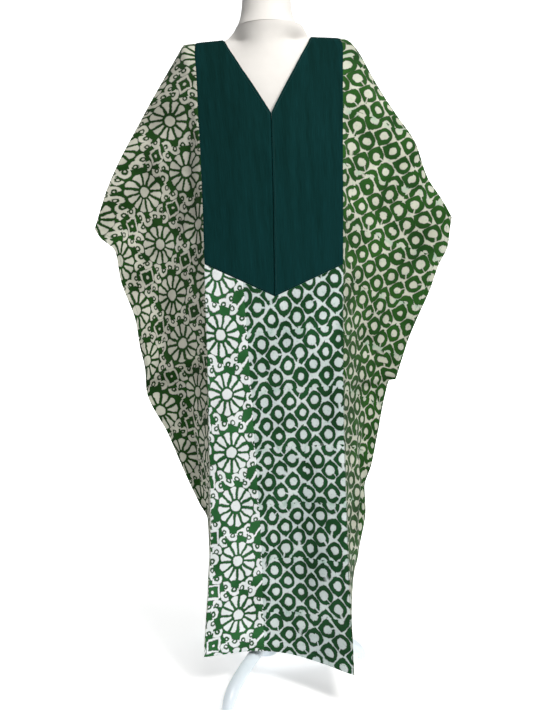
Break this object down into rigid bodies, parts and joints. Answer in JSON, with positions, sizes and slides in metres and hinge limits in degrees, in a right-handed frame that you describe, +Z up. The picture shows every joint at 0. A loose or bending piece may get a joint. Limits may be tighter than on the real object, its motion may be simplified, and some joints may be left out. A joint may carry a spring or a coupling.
{
  "type": "grand boubou robe on a dress form stand",
  "caption": "Ankle-length robe with wide draped wings, V neck and pointed dark bib, hanging on a limbless dress form with a pole and curved legs.",
  "frame": {"origin": "centre of the whole at floor level, under the feet", "axes": "+Z up, the robe's front faces -Y, +X to the right as seen from the front"},
  "size_m": [0.847, 0.4465, 1.6633],
  "materials": {
    "dark_cloth": "matt, faint lengthwise weave",
    "printed_cloth": "soft matt, stamped batik print",
    "form_white": "matt stretched jersey",
    "stand_white": "satin white paint"
  },
  "bodies": {
    "root": {"bib_left": "dark_cloth", "bib_right": "dark_cloth", "back_yoke": "dark_cloth", "front_panel": "printed_cloth", "back_panel": "printed_cloth", "wing_left_front": "printed_cloth", "wing_left_back": "printed_cloth", "wing_right_front": "printed_cloth", "wing_right_back": "printed_cloth", "form_torso": "form_white", "form_neck": "form_white", "stand_pole": "stand_white", "stand_hub": "stand_white", "stand_leg_1": "stand_white", "stand_leg_2": "stand_white", "stand_leg_3": "stand_white"}
  },
  "joints": []
}
